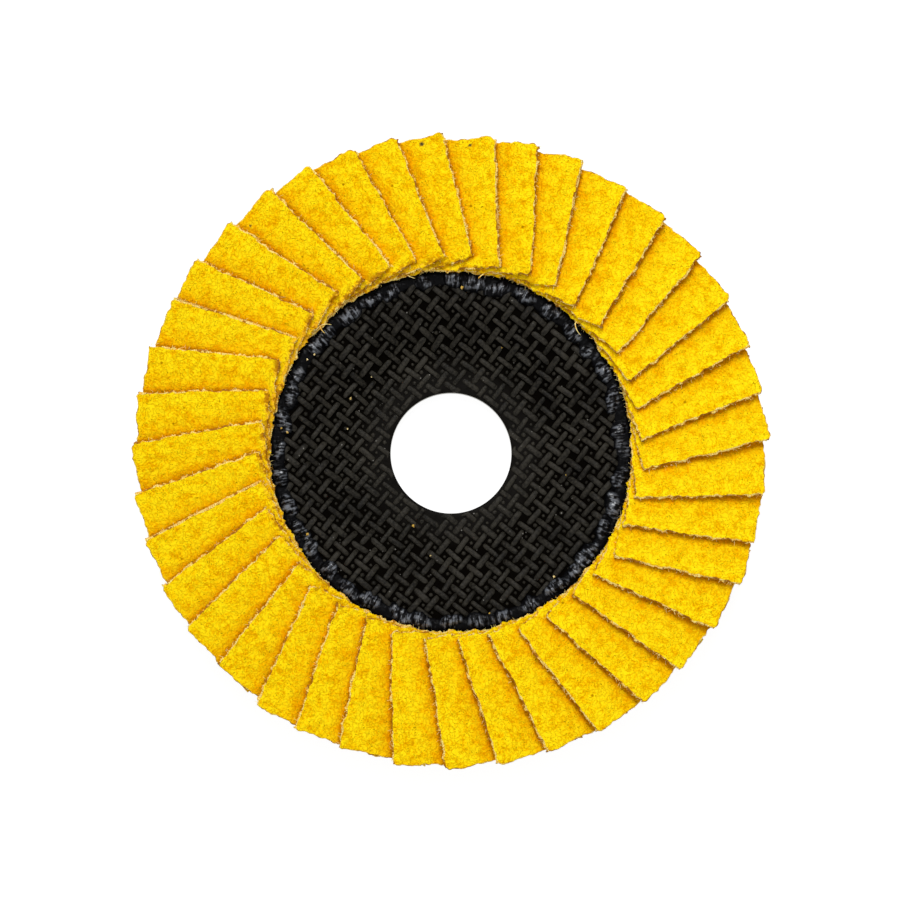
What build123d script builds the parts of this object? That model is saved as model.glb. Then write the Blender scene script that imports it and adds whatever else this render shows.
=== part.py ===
"""Flap disc for an angle grinder: forty abrasive cloth flaps, fanned over each other round a dished plate.

The disc lies on the back of its hub with the flaps up. All sizes are in millimetres.
+Z is the disc's axis and points to the working side. The origin is on that axis, at the back of the hub.
"""

import os
from math import cos, hypot, radians, sin, tan

from build123d import *

# Bore and its pressed steel ring
BORE_DIAMETER = 22.23
RING_SHEET = 0.38
RING_LEAD_IN = 0.3
RING_FLANGE_DIAMETER = 31.0
RING_HEIGHT = 2.2

# Dished backing plate of moulded glass cloth and resin
PLATE_DIAMETER = 104.0
PLATE_THICKNESS = 3.0
HUB_RADIUS = 18.0
DISH_RADIUS = 28.0
DISH_ANGLE = 30.0
BEND_WIDTH = 2.0

# Glass strands that stand proud of the plate's working face in a plain weave
STRAND_PITCH = 2.4
STRAND_WIDTH = 0.68
STRAND_FLOAT = 3.1
STRAND_HEIGHT = 0.2
WARP_ANGLE = 52.0
WEAVE_MARGIN = 0.65

# Glue bed that holds the flaps, with a bead of forty lumps squeezed out at its inner edge
BED_OUTER_RADIUS = 50.0
BED_INNER_RADIUS = 32.7
BED_HEIGHT = 1.1
BEAD_HEIGHT = 1.9
LUMP_CENTRES = 33.1
LUMP_RADIUS = 2.75
GLUE_FILM = 0.15

# Abrasive cloth flaps
FLAP_COUNT = 40
FLAP_REACH = 44.8
FLAP_LENGTH = 23.9
FLAP_WIDTH = 16.3
FLAP_LEAD = 11.2
FLAP_LEAN = 12.0
FLAP_THICKNESS = 0.85
FLAP_CORNER = 0.5
FIRST_BEARING = -11.05

# A disc laid by hand: waves a turn, size in degrees, and phase, for the flaps' spacing and twist
SPACING_WAVES = ((1, 2.05, 108), (3, 0.65, 117), (8, 0.26, -126))
TWIST_WAVES = ((1, 1.35, -152), (11, 1.04, -37), (12, 0.76, -173), (15, 1.08, -154))

# Radii and heights that follow from the sizes above
BORE_RADIUS = BORE_DIAMETER / 2
COLLAR_RADIUS = BORE_RADIUS + RING_SHEET
PLATE_RADIUS = PLATE_DIAMETER / 2
BEND_RISE = BEND_WIDTH * tan(radians(DISH_ANGLE / 2))
WALL_RISE = (DISH_RADIUS - HUB_RADIUS - 2 * BEND_WIDTH) * tan(radians(DISH_ANGLE))
DISH_DEPTH = 2 * BEND_RISE + WALL_RISE
RIM_FRONT = PLATE_THICKNESS + DISH_DEPTH
BEAD_INNER_RADIUS = LUMP_CENTRES - LUMP_RADIUS

# Radius and height of the dish's profile: flat hub, soft bend, sloping wall, soft bend, flat rim
DISH_PROFILE = [
    (BORE_RADIUS, 0),
    (HUB_RADIUS, 0),
    (HUB_RADIUS + BEND_WIDTH, BEND_RISE),
    (DISH_RADIUS - BEND_WIDTH, BEND_RISE + WALL_RISE),
    (DISH_RADIUS, DISH_DEPTH),
    (PLATE_RADIUS, DISH_DEPTH),
]


def working_face(x, y):
    """Height and slope of the plate's working face at (x, y)."""
    radius = hypot(x, y)
    for (start, low), (end, high) in zip(DISH_PROFILE, DISH_PROFILE[1:]):
        slope = (high - low) / (end - start)
        if radius <= end:
            return PLATE_THICKNESS + low + slope * (radius - start), slope


def strand_seat(x, y, angle):
    """Plane that rests on the working face at (x, y), with its x direction along the strand."""
    height, slope = working_face(x, y)
    radius = hypot(x, y)
    normal = Vector(-slope * x / radius, -slope * y / radius, 1).normalized()
    strand = Vector(cos(radians(angle)), sin(radians(angle)), 0)
    seat = Plane(origin=(x, y, height), x_dir=strand - normal * strand.dot(normal), z_dir=normal)
    lift = 0
    for along in (-STRAND_FLOAT / 2, STRAND_FLOAT / 2):
        for aside in (-STRAND_WIDTH / 2, STRAND_WIDTH / 2):
            corner = seat.from_local_coords((along, aside, 0))
            lift = max(lift, working_face(corner.X, corner.Y)[0] - corner.Z)
    return seat.offset(lift * normal.Z)


def strand_fits(x, y, angle):
    """Whether a strand at (x, y) lies wholly between the bore and the bead."""
    half_x = cos(radians(angle)) * STRAND_FLOAT / 2
    half_y = sin(radians(angle)) * STRAND_FLOAT / 2
    radii = [hypot(x + side * half_x, y + side * half_y) for side in (-1, 0, 1)]
    nearest = BORE_RADIUS + WEAVE_MARGIN
    farthest = BEAD_INNER_RADIUS - WEAVE_MARGIN
    return nearest < min(radii) and max(radii) < farthest


def strand_seats():
    """Seats of the crossings in a plain weave: the warp and the weft lie on top by turns."""
    reach = int(BEAD_INNER_RADIUS / STRAND_PITCH) + 1
    turn = radians(WARP_ANGLE)
    seats = []
    for i in range(-reach, reach + 1):
        for j in range(-reach, reach + 1):
            x = STRAND_PITCH * (i * cos(turn) - j * sin(turn))
            y = STRAND_PITCH * (i * sin(turn) + j * cos(turn))
            angle = WARP_ANGLE if (i + j) % 2 == 0 else WARP_ANGLE + 90
            if strand_fits(x, y, angle):
                seats.append(strand_seat(x, y, angle))
    return seats


def unevenness(waves, turn):
    """Sum of the waves at that many degrees round the disc."""
    return sum(size * cos(radians(count * turn + phase)) for count, size, phase in waves)


def flap_plane(index):
    """Tilted plane of a flap's underside, with its origin halfway along the trailing edge.

    The flap is twisted about the middle of its leading edge, and its ends keep their reach.
    """
    turn = index * 360 / FLAP_COUNT
    twist = radians(unevenness(TWIST_WAVES, turn))
    bearing = radians(FIRST_BEARING + turn + unevenness(SPACING_WAVES, turn)) + twist
    axis = Vector(sin(bearing), cos(bearing), 0)
    across = Vector(cos(bearing), -sin(bearing), 0)
    up = Vector(0, 0, 1)
    lean = radians(FLAP_LEAN)
    lead = FLAP_LEAD * cos(twist) - FLAP_REACH * sin(twist)
    trail = lead - FLAP_WIDTH * cos(lean)
    return Plane(
        origin=axis * FLAP_REACH + across * trail + up * (RIM_FRONT + GLUE_FILM),
        x_dir=across * cos(lean) + up * sin(lean),
        z_dir=up * cos(lean) - across * sin(lean),
    )


# Backing plate: one dished moulding, sunk at the back for the ring's flange and collar
with BuildPart() as backing_plate:
    with BuildSketch(Plane.XZ):
        with BuildLine():
            front = [(radius, height + PLATE_THICKNESS) for radius, height in DISH_PROFILE]
            Polyline(*DISH_PROFILE, *reversed(front), close=True)
        make_face()
    revolve(axis=Axis.Z)
    Cylinder(RING_FLANGE_DIAMETER / 2, 2 * RING_SHEET, mode=Mode.SUBTRACT)
    Cylinder(COLLAR_RADIUS, 2 * RING_HEIGHT, mode=Mode.SUBTRACT)
backing_plate.part.label = "backing_plate"

# Glass strands: a group of short floats, one at each crossing, seated on the plate's working face
strand = Box(
    STRAND_FLOAT,
    STRAND_WIDTH,
    STRAND_HEIGHT,
    align=(Align.CENTER, Align.CENTER, Align.MIN),
)
glass_strands = Compound([seat * strand for seat in strand_seats()])
glass_strands.label = "glass_strands"

# Bore ring: pressed sheet steel, with a flange at the back and a collar that stops below the face
with BuildPart() as bore_ring:
    with BuildSketch(Plane.XZ) as ring_section:
        with Locations((BORE_RADIUS, 0)):
            Rectangle(
                RING_FLANGE_DIAMETER / 2 - BORE_RADIUS,
                RING_SHEET,
                align=(Align.MIN, Align.MIN),
            )
            Rectangle(RING_SHEET, RING_HEIGHT, align=(Align.MIN, Align.MIN))
        chamfer(ring_section.vertices().sort_by_distance((BORE_RADIUS, 0))[0], RING_LEAD_IN)
    revolve(axis=Axis.Z)
bore_ring.part.label = "bore_ring"

# Flaps: rectangles of abrasive cloth, each leaning on the next one clockwise
flaps = []
for index in range(FLAP_COUNT):
    with BuildPart() as flap:
        with BuildSketch(flap_plane(index)) as blank:
            Rectangle(FLAP_WIDTH, FLAP_LENGTH, align=(Align.MIN, Align.CENTER))
            chamfer(blank.vertices(), FLAP_CORNER)
        extrude(amount=FLAP_THICKNESS)
    flap.part.label = f"flap_{index + 1:02d}"
    flaps.append(flap.part)

# Adhesive bed: glue on the plate's rim, moulded to the undersides of the flaps that sit in it
with BuildPart() as adhesive_bed:
    with BuildSketch(Plane.XY.offset(RIM_FRONT)):
        Circle(BED_OUTER_RADIUS)
        Circle(BED_INNER_RADIUS, mode=Mode.SUBTRACT)
    extrude(amount=BED_HEIGHT)
    with BuildSketch(Plane.XY.offset(RIM_FRONT)):
        with PolarLocations(LUMP_CENTRES, FLAP_COUNT):
            Circle(LUMP_RADIUS)
        Circle(BED_INNER_RADIUS, mode=Mode.INTERSECT)
    extrude(amount=BEAD_HEIGHT)
    add(flaps, mode=Mode.SUBTRACT)
adhesive_bed.part.label = "adhesive_bed"

os.makedirs("parts", exist_ok=True)
export_step(backing_plate.part, "parts/backing_plate.step")
export_step(glass_strands, "parts/glass_strands.step")
export_step(bore_ring.part, "parts/bore_ring.step")
export_step(adhesive_bed.part, "parts/adhesive_bed.step")
for flap in flaps:
    export_step(flap, f"parts/{flap.label}.step")
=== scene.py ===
# %% [markdown]
# # A flap disc
# A flap disc is a fan of abrasive cloth flaps glued round the rim of a dished plate. The imported model
# gives every piece its place and size. This notebook gives each piece its surface: cut and frayed cloth,
# a plate with a proud glass weave, a wrinkled bead of black glue and a pressed steel ring in the bore.
# We start by loading the model, and we keep its box, so that its size can be printed beside the new one.

# %% Load the model
from math import cos, pi, radians, sin

import bpy
import numpy as np
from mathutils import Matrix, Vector


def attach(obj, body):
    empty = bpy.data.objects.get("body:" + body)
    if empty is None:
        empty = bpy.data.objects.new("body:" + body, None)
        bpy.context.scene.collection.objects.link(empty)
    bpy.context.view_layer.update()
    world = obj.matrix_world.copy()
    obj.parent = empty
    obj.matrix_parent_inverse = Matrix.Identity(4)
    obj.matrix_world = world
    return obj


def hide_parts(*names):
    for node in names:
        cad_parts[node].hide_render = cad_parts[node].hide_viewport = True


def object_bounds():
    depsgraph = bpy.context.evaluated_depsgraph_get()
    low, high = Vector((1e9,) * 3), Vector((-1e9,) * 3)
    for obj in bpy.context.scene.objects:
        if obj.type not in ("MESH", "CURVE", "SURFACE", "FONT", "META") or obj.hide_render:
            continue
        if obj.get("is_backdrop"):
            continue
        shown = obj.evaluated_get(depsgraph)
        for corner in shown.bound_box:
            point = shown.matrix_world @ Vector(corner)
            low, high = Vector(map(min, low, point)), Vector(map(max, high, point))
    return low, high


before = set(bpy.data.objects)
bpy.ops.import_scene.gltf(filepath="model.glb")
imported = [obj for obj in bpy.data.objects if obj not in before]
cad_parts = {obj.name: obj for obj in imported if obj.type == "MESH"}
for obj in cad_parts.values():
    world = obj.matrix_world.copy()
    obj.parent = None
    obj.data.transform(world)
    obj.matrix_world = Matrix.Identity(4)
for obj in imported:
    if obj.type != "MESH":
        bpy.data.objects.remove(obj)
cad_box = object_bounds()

MM = 0.001

# %% [markdown]
# ## The sizes that the pieces share
# The pieces are worked out from a few sizes of the disc, in millimetres, and are turned into metres when
# a mesh is made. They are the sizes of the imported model, so each new piece lies where its solid lies.

# %% Sizes of the disc
BORE_RADIUS = 11.115
RING_SHEET = 0.38
RING_HEIGHT = 2.2
RING_FLANGE_RADIUS = 15.5
PLATE_RADIUS = 52.0
PLATE_THICKNESS = 3.0
DISH_DEPTH = 4.536
RIM_FRONT = PLATE_THICKNESS + DISH_DEPTH
BED_OUTER_RADIUS = 50.0
BED_HEIGHT = 1.1

FLAP_COUNT = 40
FLAP_REACH = 44.8
FLAP_LENGTH = 23.9
FLAP_WIDTH = 16.3
FLAP_LEAD = 11.2
FLAP_LEAN = radians(12)
FLAP_THICKNESS = 0.85
GLUE_FILM = 0.15
FIRST_BEARING = -11.05
SPACING_WAVES = ((1, 2.05, 108), (3, 0.65, 117), (8, 0.26, -126))  # waves a turn, degrees, phase
TWIST_WAVES = ((1, 1.35, -152), (11, 1.04, -37), (12, 0.76, -173), (15, 1.08, -154))

STRAND_PITCH = 2.4
WARP_ANGLE = radians(52)
print("rim stands", round(RIM_FRONT, 3), "mm above the hub's back")

# %% [markdown]
# ## The view
# The disc lies flat and the camera hangs above it, a few degrees off the vertical, on a long lens. The
# lens is worked out from the scale that we want, in pixels to a millimetre, so that it explains itself.

# %% Camera
FRAME_PIXELS = 900
SENSOR = 36.0
CAMERA_DISTANCE = 700.0
CAMERA_ELEVATION = radians(86.5)
CLIP_NEAR, CLIP_FAR = 0.01, 20  # metres
PIXELS_PER_MM = 5.45
BORE_PIXEL = (451.0, 452.9)


def make_camera():
    """Looks at the bore from the chosen elevation, and turns aside so that the bore lands on its pixel."""
    camera = bpy.data.objects.new("camera", bpy.data.cameras.new("camera"))
    bpy.context.scene.collection.objects.link(camera)
    camera.data.sensor_width = SENSOR
    camera.data.lens = PIXELS_PER_MM * CAMERA_DISTANCE * SENSOR / FRAME_PIXELS
    camera.data.clip_start, camera.data.clip_end = CLIP_NEAR, CLIP_FAR
    back = Vector((0, -cos(CAMERA_ELEVATION), sin(CAMERA_ELEVATION)))
    up = Vector((0, sin(CAMERA_ELEVATION), cos(CAMERA_ELEVATION)))
    aside = (FRAME_PIXELS / 2 - BORE_PIXEL[0]) / PIXELS_PER_MM
    above = (BORE_PIXEL[1] - FRAME_PIXELS / 2) / PIXELS_PER_MM
    target = Vector((aside, 0, PLATE_THICKNESS)) + above * up
    camera.location = (target + CAMERA_DISTANCE * back) * MM
    camera.rotation_euler = back.to_track_quat("Z", "Y").to_euler()
    bpy.context.scene.camera = camera
    return camera


camera = make_camera()
print("lens", round(camera.data.lens, 1), "mm")

# %% [markdown]
# ## Writing materials as sums
# A procedural material is a graph of nodes, and long graphs are hard to read. One small class wraps a
# socket and gives it Python's operators, so that a mask is written as a sum. A second one holds the
# material that is being painted, and its method `node` adds any other node.

# %% Shader maths
class Number:
    """A number inside a material. Python's operators on it add Math nodes."""

    def __init__(self, paint, socket):
        self.paint = paint
        self.socket = socket

    def maths(self, operation, *values):
        return self.paint.node("ShaderNodeMath", {"operation": operation}, dict(enumerate(values)))

    def __add__(self, other):
        return self.maths("ADD", self, other)

    def __sub__(self, other):
        return self.maths("SUBTRACT", self, other)

    def __rsub__(self, other):
        return self.maths("SUBTRACT", other, self)

    def __mul__(self, other):
        return self.maths("MULTIPLY", self, other)

    __radd__ = __add__
    __rmul__ = __mul__

    def __abs__(self):
        return self.maths("ABSOLUTE", self)

    def highest(self, other):
        return self.maths("MAXIMUM", self, other)


class Paint:
    """A node tree under construction, with one method that adds any node."""

    def __init__(self, tree):
        self.tree = tree
        self.tree.nodes.clear()

    def node(self, kind, settings=None, inputs=None, output=0):
        """Adds a node: first its settings, then the values or links of its sockets."""
        made = self.tree.nodes.new(kind)
        for name, value in (settings or {}).items():
            if name == "stops":
                for stop in range(2, len(value)):
                    made.color_ramp.elements.new(value[stop][0])
                for element, (place, colour) in zip(made.color_ramp.elements, value):
                    element.position = place
                    element.color = (*colour, 1)
            else:
                setattr(made, name, value)
        for name, value in (inputs or {}).items():
            if isinstance(value, Number):
                self.tree.links.new(value.socket, made.inputs[name])
            else:
                made.inputs[name].default_value = value
        return Number(self, made.outputs[output]) if made.outputs else None

    def place(self):
        return self.node("ShaderNodeTexCoord", output="Object")

    def noise(self, size, detail=2, roughness=0.5, place=None):
        """Noise from 0 to 1, with patches of about that size in millimetres."""
        inputs = {"Vector": place or self.place(), "Scale": 1 / (size * MM), "Detail": detail}
        return self.node("ShaderNodeTexNoise", None, {**inputs, "Roughness": roughness})

    def cells(self, size):
        """Distance from scattered points, which lie about that many millimetres apart, as a share of it."""
        inputs = {"Vector": self.place(), "Scale": 1 / (size * MM)}
        return self.node("ShaderNodeTexVoronoi", None, inputs)

    def join(self, x=0, y=0, z=0):
        return self.node("ShaderNodeCombineXYZ", None, {"X": x, "Y": y, "Z": z})

    def step(self, value, start, end, low=0, high=1):
        """A smooth change from low to high, as the value goes from start to end."""
        inputs = {0: value, 1: start, 2: end, 3: low, 4: high}
        return self.node("ShaderNodeMapRange", {"interpolation_type": "SMOOTHSTEP"}, inputs)

    def ramp(self, value, *stops):
        return self.node("ShaderNodeValToRGB", {"stops": stops}, {0: value})

    def mix(self, mask, first, second):
        """First colour where the mask is 0, second where it is 1."""
        first, second = (c if isinstance(c, Number) else (*c, 1) for c in (first, second))
        return self.node("ShaderNodeMix", {"data_type": "RGBA"}, {0: mask, 6: first, 7: second}, 2)

    def mark(self, name):
        """A number that the mesh carries at each corner."""
        return self.node("ShaderNodeAttribute", {"attribute_name": name}, None, "Fac")

    def bump(self, height, depth, normal=None):
        """Relief whose height of 1 stands for that many millimetres."""
        inputs = {"Height": height, "Distance": depth * MM, "Strength": 1}
        if normal:
            inputs["Normal"] = normal
        return self.node("ShaderNodeBump", None, inputs)

    def finish(self, **sockets):
        """Ends the material in a Principled shader. Underscores in names stand for spaces."""
        inputs = {name.replace("_", " "): value for name, value in sockets.items()}
        for name, value in inputs.items():
            if isinstance(value, tuple):
                inputs[name] = (*value, 1)
        shader = self.node("ShaderNodeBsdfPrincipled", None, inputs)
        self.node("ShaderNodeOutputMaterial", None, {"Surface": shader})


def new_material(name):
    material = bpy.data.materials.new(name)
    material.use_nodes = True
    return material, Paint(material.node_tree)


print("painting tools ready")

# %% [markdown]
# ## Floor and light
# The disc lies on a plain pale floor. One large lamp stands beyond the top of the picture and a weaker
# one faces it, and the sky fills the rest, so each raised edge throws a short soft shadow. What the
# camera and the mirror-like surfaces see behind the disc is white; the floor still takes its shadow.

# %% Floor
FLOOR_REACH = 1500
FLOOR_GLOW = 0.86
FLOOR_PALE = (0.8, 0.8, 0.8, 1)
FLOOR_SEEN = (0.27, 0.27, 0.27, 1)


def make_floor():
    """A flat square below the disc. Seen directly it glows a little, so that it reads as white."""
    material, paint = new_material("pale_floor")
    plain = paint.node("ShaderNodeBsdfDiffuse", None, {"Color": FLOOR_PALE})
    matt = paint.node("ShaderNodeBsdfDiffuse", None, {"Color": FLOOR_SEEN})
    glow = paint.node("ShaderNodeEmission", None, {"Strength": FLOOR_GLOW})
    white = paint.node("ShaderNodeAddShader", None, {0: matt, 1: glow})
    seen = direct_ray(paint)
    shown = paint.node("ShaderNodeMixShader", None, {0: seen, 1: plain, 2: white})
    paint.node("ShaderNodeOutputMaterial", None, {"Surface": shown})
    mesh = bpy.data.meshes.new("floor")
    far = FLOOR_REACH * MM
    mesh.from_pydata([(-far, -far, 0), (far, -far, 0), (far, far, 0), (-far, far, 0)], [], [(0, 1, 2, 3)])
    mesh.materials.append(material)
    floor = bpy.data.objects.new("floor", mesh)
    bpy.context.scene.collection.objects.link(floor)
    floor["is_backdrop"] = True
    return floor


def direct_ray(paint):
    """1 for rays from the camera, from a mirror-like surface or through a clear one."""
    camera_ray = paint.node("ShaderNodeLightPath", output="Is Camera Ray")
    glossy_ray = paint.node("ShaderNodeLightPath", output="Is Glossy Ray")
    clear_ray = paint.node("ShaderNodeLightPath", output="Is Transmission Ray")
    return camera_ray.highest(glossy_ray).highest(clear_ray)


floor = make_floor()
print("floor", floor.name)

# %% Sky and lamps
SKY_LEVEL = 0.77
LAMPS = {  # azimuth and elevation in degrees, distance and width in millimetres, level on a facing sheet
    "key": (-4, 54, 1000, 520, 0.63),
    "fill": (190, 62, 1000, 700, 0.10),
}


def make_sky():
    world = bpy.data.worlds.new("sky")
    bpy.context.scene.world = world
    world.use_nodes = True
    paint = Paint(world.node_tree)
    level = paint.step(direct_ray(paint), 0, 1, SKY_LEVEL, 1)
    sky = paint.node("ShaderNodeBackground", None, {"Strength": level})
    paint.node("ShaderNodeOutputWorld", None, {"Surface": sky})


def make_lamp(name, azimuth, elevation, distance, width, level):
    """A round lamp that lights a facing white sheet to the given level. Azimuth is clockwise from +Y."""
    light = bpy.data.lights.new(name, "AREA")
    light.shape = "DISK"
    light.size = width * MM
    light.energy = level * pi * pi * (distance * MM) ** 2
    lamp = bpy.data.objects.new(name, light)
    bpy.context.scene.collection.objects.link(lamp)
    azimuth, elevation = radians(azimuth), radians(elevation)
    towards = Vector((sin(azimuth) * cos(elevation), cos(azimuth) * cos(elevation), sin(elevation)))
    lamp.location = towards * distance * MM
    lamp.rotation_euler = towards.to_track_quat("Z", "Y").to_euler()
    return lamp


make_sky()
for name, numbers in LAMPS.items():
    lamp = make_lamp(name, *numbers)
    print(name, "lamp", round(lamp.data.energy, 2), "W")
bpy.context.scene.view_settings.view_transform = "Standard"

# %% [markdown]
# ## Tools for meshes
# Every new surface is a grid of points worked out with numpy. `noise` gives the unevenness that hand
# work and grit have: it is smooth, and the same each time, because its random numbers have a seed.

# %% Mesh tools
LATTICE = 64


def noise(x, y, size, seed):
    """Smooth noise from -1 to 1: random numbers on a square lattice with cells of that size,
    blended across each cell with the smooth step 3t^2 - 2t^3."""
    table = np.random.default_rng(seed).uniform(-1, 1, (LATTICE, LATTICE))
    across, along = np.broadcast_arrays(x / size, y / size)
    left, low = np.floor(across).astype(int), np.floor(along).astype(int)
    s, t = across - left, along - low
    s, t = s * s * (3 - 2 * s), t * t * (3 - 2 * t)
    corner = [[table[(left + i) % LATTICE, (low + j) % LATTICE] for j in (0, 1)] for i in (0, 1)]
    near = corner[0][0] + s * (corner[1][0] - corner[0][0])
    far = corner[0][1] + s * (corner[1][1] - corner[0][1])
    return near + t * (far - near)


def grid_quads(rows, columns, close_rows=False, close_columns=False):
    """Four-sided faces of a grid of points that is numbered row by row, closed on itself if asked."""
    number = np.arange(rows * columns).reshape(rows, columns)
    if close_rows:
        number = np.vstack([number, number[:1]])
    if close_columns:
        number = np.hstack([number, number[:, :1]])
    corners = [number[:-1, :-1], number[:-1, 1:], number[1:, 1:], number[1:, :-1]]
    return np.stack(corners, axis=-1).reshape(-1, 4)


def make_piece(name, points, faces, material, slot, replaces=(), marks=None, flat_faces=0):
    """Makes a piece from points in millimetres and lists of corners. The last flat_faces stay flat."""
    mesh = bpy.data.meshes.new(name)
    mesh.from_pydata((np.reshape(points, (-1, 3)) * MM).tolist(), [], faces)
    smooth = np.ones(len(faces), bool)
    smooth[len(faces) - flat_faces:] = False
    mesh.polygons.foreach_set("use_smooth", smooth)
    for mark, values in (marks or {}).items():
        attribute = mesh.attributes.new(mark, "FLOAT", "POINT")
        attribute.data.foreach_set("value", np.ravel(values).astype(np.float32))
    mesh.materials.append(material)
    mesh.validate()
    piece = bpy.data.objects.new(name, mesh)
    bpy.context.scene.collection.objects.link(piece)
    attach(piece, "root")
    if replaces:
        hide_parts(*replaces)
    return piece


def triangles(piece):
    return sum(len(face.vertices) - 2 for face in piece.data.polygons)


added = {}
print("mesh tools ready")

# %% [markdown]
# ## The abrasive cloth
# A flap is cotton cloth with a coat of yellow resin and grit. The coat is matt, and it has creased in
# short crooked wrinkles as it dried, with ochre grains showing through; the creases are painted a deeper
# orange, which is painted shade. Where the flap is cut, the pale cloth shows, singed brown in places. The
# mesh carries marks: how far a point is cloth, how singed, stained or worn it is, how near it is to the
# flap that lies over it, where painted shade turns the coat a deeper orange and brown at that flap's edge,
# and its place on the flap in millimetres, which the threads of the cloth follow.

# %% Abrasive cloth
GRIT_DEEP = (0.78, 0.36, 0.0)
GRIT_MIDDLE = (0.95, 0.60, 0.002)
GRIT_BRIGHT = (1.00, 0.74, 0.006)
GRIT_GRAIN = (0.42, 0.21, 0.0)
GRIT_SHADE = (0.88, 0.34, 0.0)
# Painted contact shadow, right at the edge of the flap that lies over another
GRIT_CONTACT_SHADOW = (0.52, 0.18, 0.0)
GRIT_STAIN = (0.035, 0.028, 0.022)
CLOTH_CREAM = (1.00, 0.80, 0.24)
CLOTH_TAN = (0.92, 0.44, 0.030)
CLOTH_BROWN = (0.38, 0.125, 0.002)
STAINS = ((-5.3, 55.9, 0.42), (3.5, 55.7, 0.30), (-36.5, 41.0, 0.25))  # x, y and radius in millimetres
THREAD_PITCH = 0.42
COAT_GRAIN, COAT_BLOTCH, CREASE_GAP = 0.34, 1.7, 0.75
COTTON_GRAIN, SINGED_PATCH = 0.36, 0.72
CLOTH_RELIEF = 0.23


def cloth_threads(paint):
    """Crossed threads of the cotton, from the place on the flap: the product of two waves."""
    across = paint.mark("across") * (pi / THREAD_PITCH)
    along = paint.mark("along") * (pi / THREAD_PITCH)
    return abs(across.maths("SINE", across) * along.maths("SINE", along))


def abrasive_material():
    material, paint = new_material("abrasive_cloth")
    fine = paint.noise(COAT_GRAIN, detail=3, roughness=0.65)
    wide = paint.noise(COAT_BLOTCH)
    crease = paint.step(abs(paint.noise(CREASE_GAP, detail=1) - 0.5), 0.0, 0.04, 1, 0)
    tone = fine * 0.6 + wide * 0.4
    coat = paint.ramp(tone, (0.38, GRIT_DEEP), (0.465, GRIT_MIDDLE), (0.54, GRIT_BRIGHT))
    # Painted shade: the creases are painted a deeper orange.
    coat = paint.mix(crease * 0.50, coat, GRIT_DEEP)
    # Painted shade next to the raised edge of the flap that lies over this one: a deeper orange, and brown in
    # patches right at that edge.
    beside = paint.mark("beside")
    shade = beside * paint.step(wide * 0.5 + fine * 0.5, 0.38, 0.60, 1.0, 0.6)
    coat = paint.mix(shade, coat, GRIT_SHADE)
    coat = paint.mix(paint.step(beside * 0.7 + fine * 0.6, 0.84, 1.04) * 0.65, coat, GRIT_CONTACT_SHADOW)
    worn = paint.mark("worn")
    coat = paint.mix(paint.step(worn * 0.25 + fine * 0.75, 0.55, 0.66) * 0.8, coat, CLOTH_TAN)
    grains = paint.step(paint.noise(COAT_GRAIN, detail=1), 0.62, 0.70)
    grains = grains * paint.step(paint.noise(1.4), 0.42, 0.56)
    specks = paint.step(paint.cells(6), 0.028, 0.056, 0.9, 0)
    coat = paint.mix((grains * 0.8).highest(specks), coat, GRIT_GRAIN)
    coat = paint.mix(paint.mark("stained"), coat, GRIT_STAIN)
    fibre = paint.noise(COTTON_GRAIN, detail=3, roughness=0.7) * 0.85 + cloth_threads(paint) * 0.15
    cloth = paint.ramp(fibre, (0.40, CLOTH_TAN), (0.51, CLOTH_CREAM))
    patchy = paint.noise(SINGED_PATCH, roughness=0.6)
    spots = paint.step(patchy * 0.75 + paint.mark("singed") * 0.25, 0.50, 0.555)
    cloth = paint.mix(spots * 0.92, cloth, CLOTH_BROWN)
    bare = paint.step(paint.mark("cloth") + fine * 0.8, 0.80, 0.92)
    coat = paint.mix(spots * worn * 0.8, coat, CLOTH_BROWN)
    wrinkles = paint.noise(0.72, roughness=0.6)
    relief = fine * 0.5 + crease * -0.35 + wrinkles * 1.2 + paint.noise(1.5, detail=1) * 0.8
    relief = relief * (1 - bare) + (fibre + cloth_threads(paint) * 0.5) * bare
    paint.finish(
        Base_Color=paint.mix(bare, coat, cloth),
        Roughness=paint.step(bare, 0, 1, 0.62, 0.9),
        Specular_IOR_Level=0.0,
        Normal=paint.bump(relief, CLOTH_RELIEF),
    )
    return material


abrasive = abrasive_material()
print("made", abrasive.name)

# %% [markdown]
# ## The flaps
# Each flap leans on the next one clockwise, so only a strip beside its raised edge shows. Its surface is
# one grid: the coated top in the middle, and a skirt of extra rows that goes over the edge and down the
# cut. The grid is fine where it shows. Cloth is soft, so the outline waves a little, the frayed cloth
# stands out from under the coat, and no two flaps are the same.

# %% Where a flap lies
def unevenness(waves, turn):
    """Sum of the waves at that many degrees round the disc."""
    return sum(size * cos(radians(count * turn + phase)) for count, size, phase in waves)


def flap_frame(index):
    """Origin of a flap's underside, and its directions: across it, along it and out of it.

    The flap is twisted about the middle of its leading edge, and its ends keep their reach."""
    turn = index * 360 / FLAP_COUNT
    twist = radians(unevenness(TWIST_WAVES, turn))
    bearing = radians(FIRST_BEARING + turn + unevenness(SPACING_WAVES, turn)) + twist
    along = np.array([sin(bearing), cos(bearing), 0])
    level = np.array([cos(bearing), -sin(bearing), 0])
    up = np.array([0, 0, 1.0])
    lead = FLAP_LEAD * cos(twist) - FLAP_REACH * sin(twist)
    trail = lead - FLAP_WIDTH * cos(FLAP_LEAN)
    origin = along * FLAP_REACH + level * trail + up * (RIM_FRONT + GLUE_FILM)
    across = level * cos(FLAP_LEAN) + up * sin(FLAP_LEAN)
    return origin, across, along, up * cos(FLAP_LEAN) - level * sin(FLAP_LEAN)


frames = [flap_frame(index) for index in range(FLAP_COUNT)]
print("first flap starts at", np.round(frames[0][0], 2), "mm")

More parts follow.
